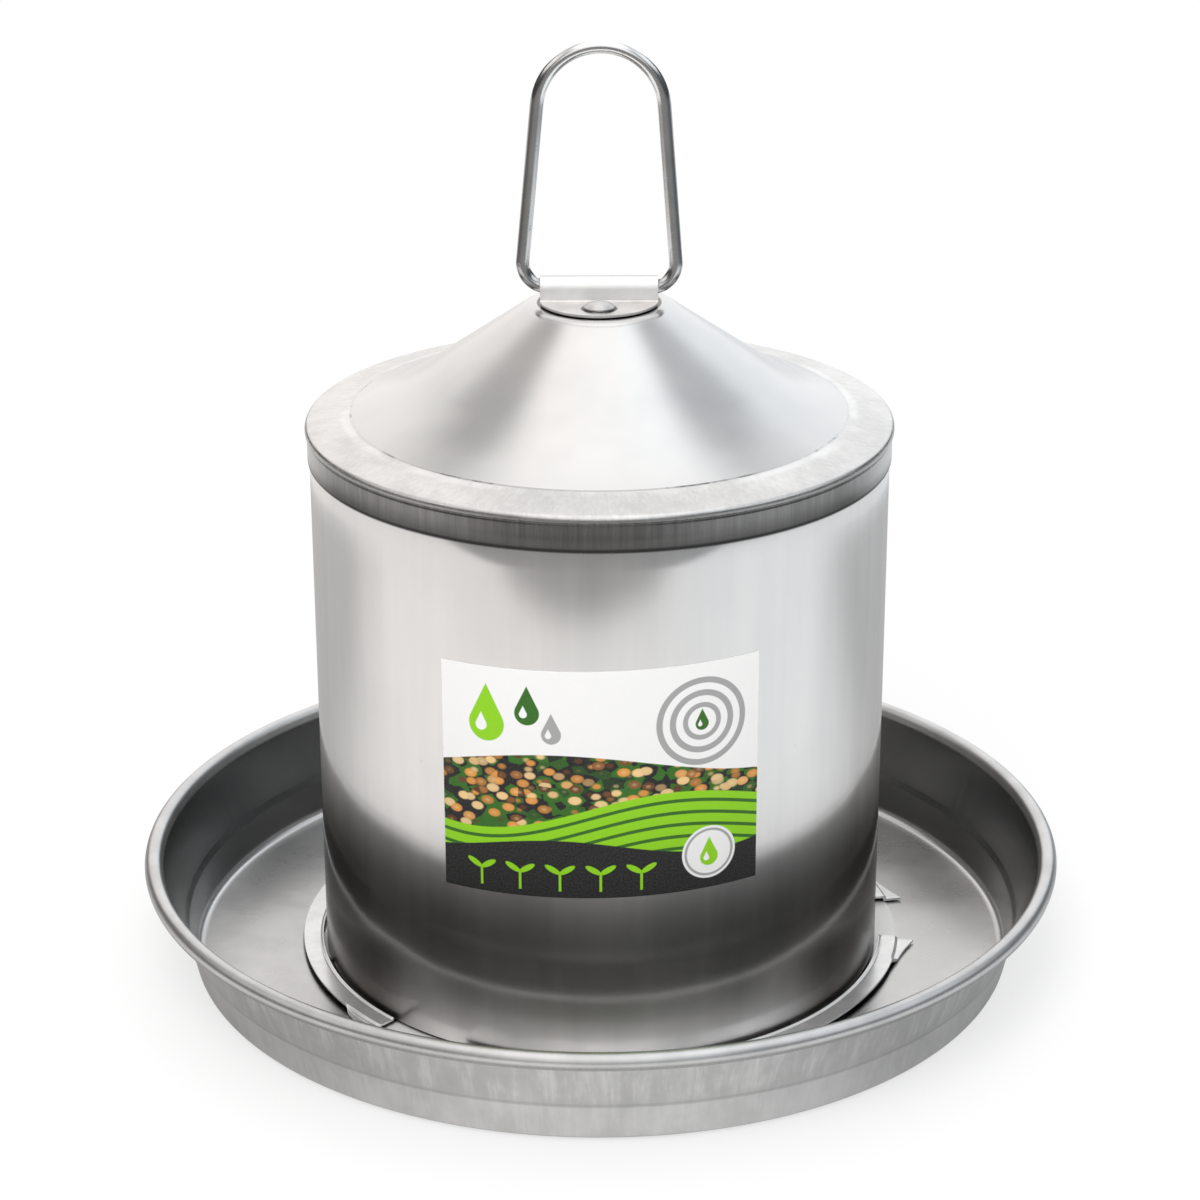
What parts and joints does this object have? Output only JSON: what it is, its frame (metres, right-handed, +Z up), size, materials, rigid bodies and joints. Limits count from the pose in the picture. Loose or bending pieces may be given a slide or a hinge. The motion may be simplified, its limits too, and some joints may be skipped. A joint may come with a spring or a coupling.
{
  "type": "poultry waterer fount",
  "caption": "Round steel vacuum drinker: a sealed cone-topped tank with a wire bail twists onto keepers in a wide rolled-rim trough that poultry drink from.",
  "frame": {"origin": "centre of the trough's underside, on the tank's axis, on the surface it stands on", "axes": "+Z up along the tank's axis, -Y towards the label, X along the bail's pivot"},
  "size_m": [0.228, 0.228, 0.2289],
  "materials": {
    "trough_steel": "satin pressed stainless sheet with faint draw marks",
    "tank_steel": "bright cold-rolled stainless sheet",
    "lid_steel": "satin drawn stainless sheet, scuffed on the rim",
    "bracket_steel": "bright stainless strip",
    "bail_steel": "bright drawn stainless wire",
    "seal_rubber": "black sealing compound",
    "label_paper": null
  },
  "bodies": {
    "trough": {"trough_dish": "trough_steel", "keeper_1": "trough_steel", "keeper_2": "trough_steel", "keeper_3": "trough_steel"},
    "tank": {"tank_wall": "tank_steel", "lock_lug_1": "tank_steel", "lock_lug_2": "tank_steel", "lock_lug_3": "tank_steel", "top_cone": "lid_steel", "lid_seal": "seal_rubber", "handle_bracket": "bracket_steel", "bracket_rivet_front": "bracket_steel", "bracket_rivet_rear": "bracket_steel", "rivet_washer_front": "seal_rubber", "rivet_washer_rear": "seal_rubber", "front_label": "label_paper"},
    "bail": {"bail_handle": "bail_steel"}
  },
  "joints": [
    {"name": "tank_twist", "type": "hinge", "parent": "trough", "child": "tank", "pos_m": [0, 0, 0], "axis": [0, 0, 1], "range_deg": [0, 45]},
    {"name": "bail_fold", "type": "hinge", "parent": "tank", "child": "bail", "pos_m": [0, 0, 0.17003], "axis": [1, 0, 0], "range_deg": [-105, 105]}
  ]
}
